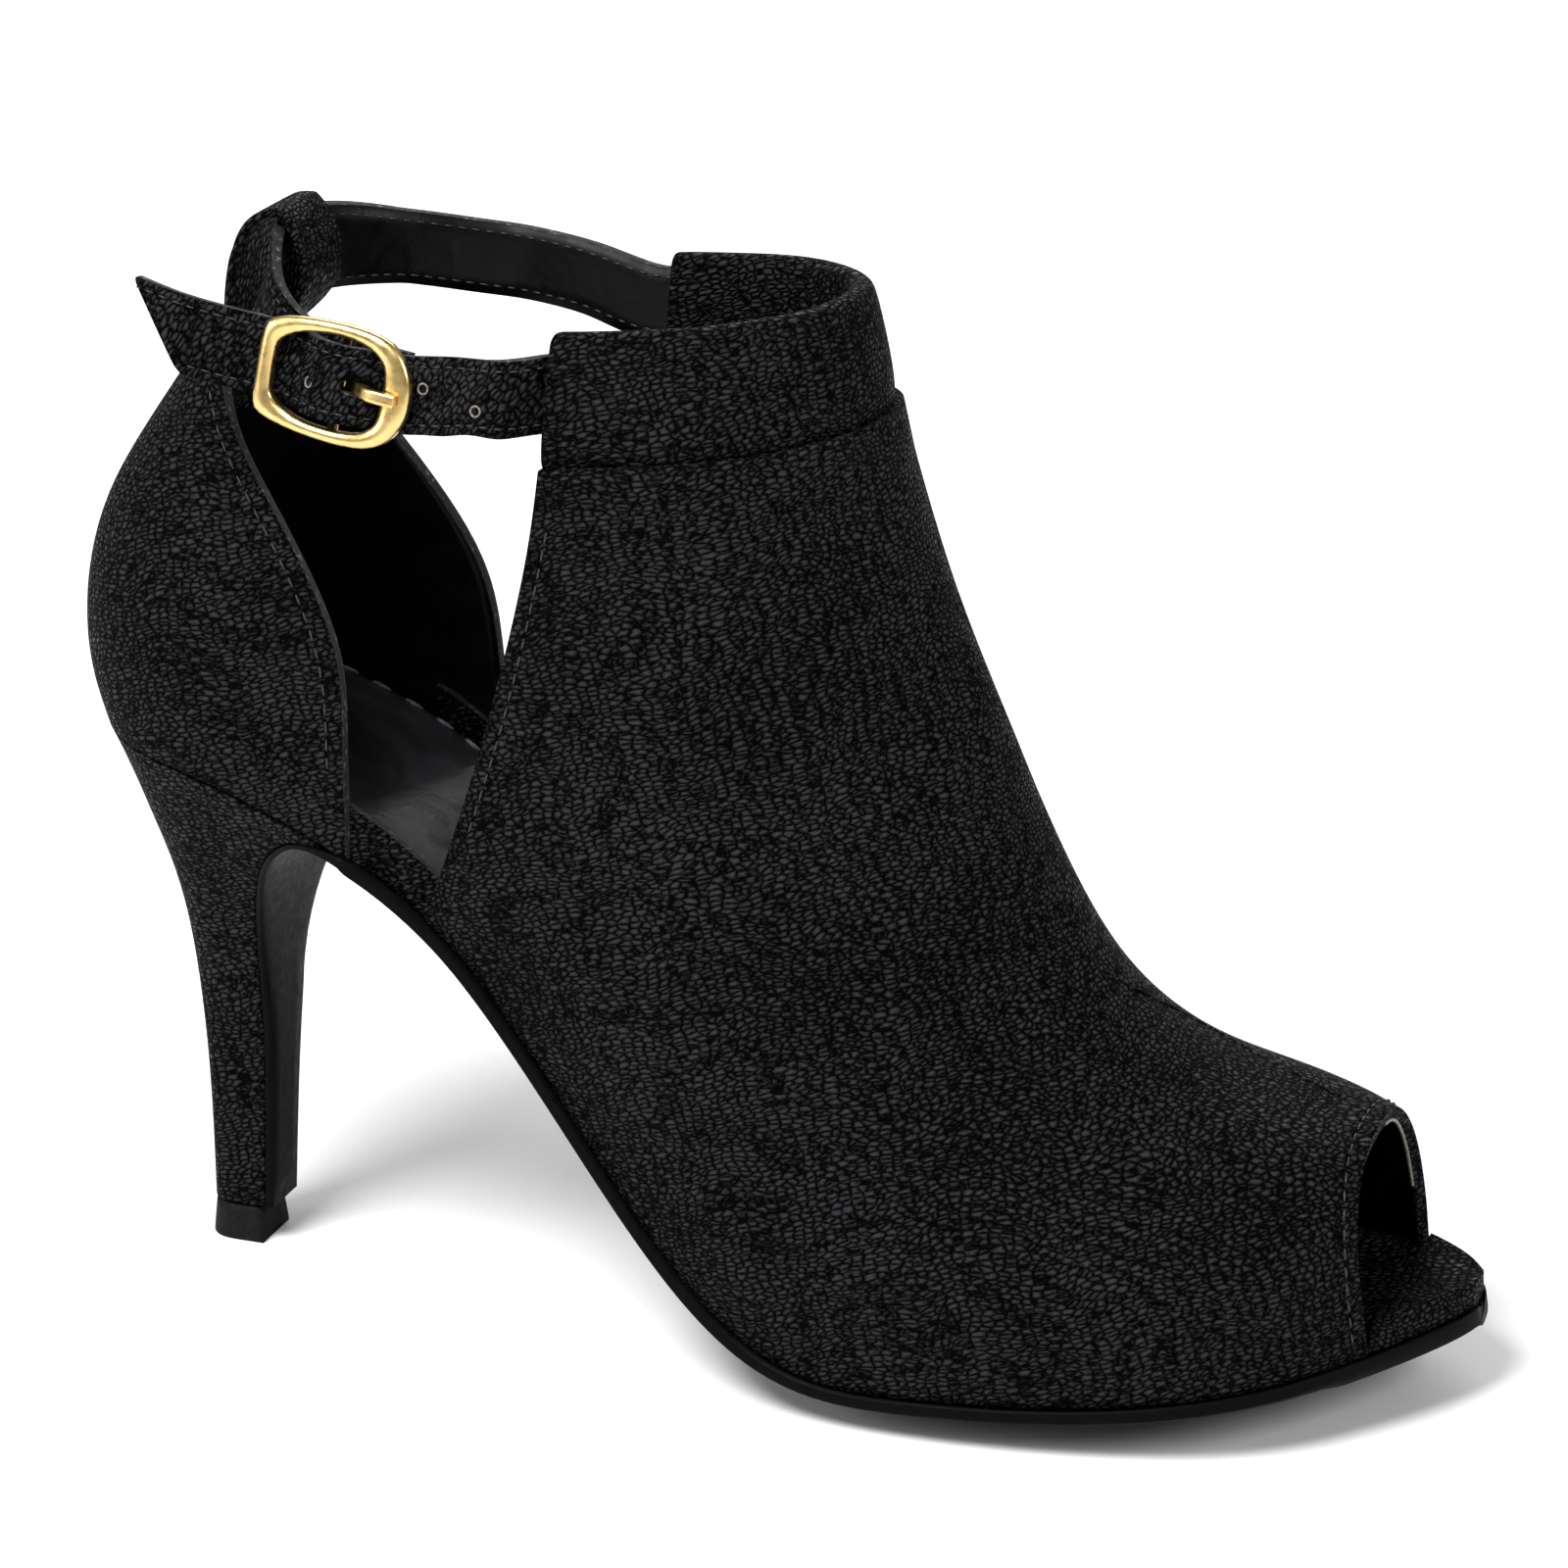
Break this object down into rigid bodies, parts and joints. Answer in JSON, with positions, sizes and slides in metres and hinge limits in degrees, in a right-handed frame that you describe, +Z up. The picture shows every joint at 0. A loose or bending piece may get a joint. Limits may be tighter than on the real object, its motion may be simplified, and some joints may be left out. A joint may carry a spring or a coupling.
{
  "type": "high heel ankle boot",
  "caption": "Right ankle boot with a stiletto heel, peep toe, open sides, turned cuff, heel loop and buckled ankle strap.",
  "frame": {"origin": "centre of the top lift's floor face, on the plane the shoe stands on", "axes": "+X towards the toe, +Y towards the medial side, +Z up"},
  "size_m": [0.2269, 0.0807, 0.1751],
  "materials": {
    "grained_black": "grained satin",
    "heel_cover_black": "grained satin",
    "smooth_black_lining": "smooth satin",
    "charcoal_sole": "satin",
    "grey_rubber": "matt",
    "gold_plate": "polished"
  },
  "bodies": {
    "root": {"upper": "grained_black", "cuff": "grained_black", "heel_loop": "grained_black", "strap_free_end": "grained_black", "strap_buckle_end": "grained_black", "buckle_chape": "grained_black", "buckle": "gold_plate", "buckle_tongue": "gold_plate", "insole": "smooth_black_lining", "sock": "smooth_black_lining", "outsole": "charcoal_sole", "heel": "heel_cover_black", "top_lift": "grey_rubber"}
  },
  "joints": []
}
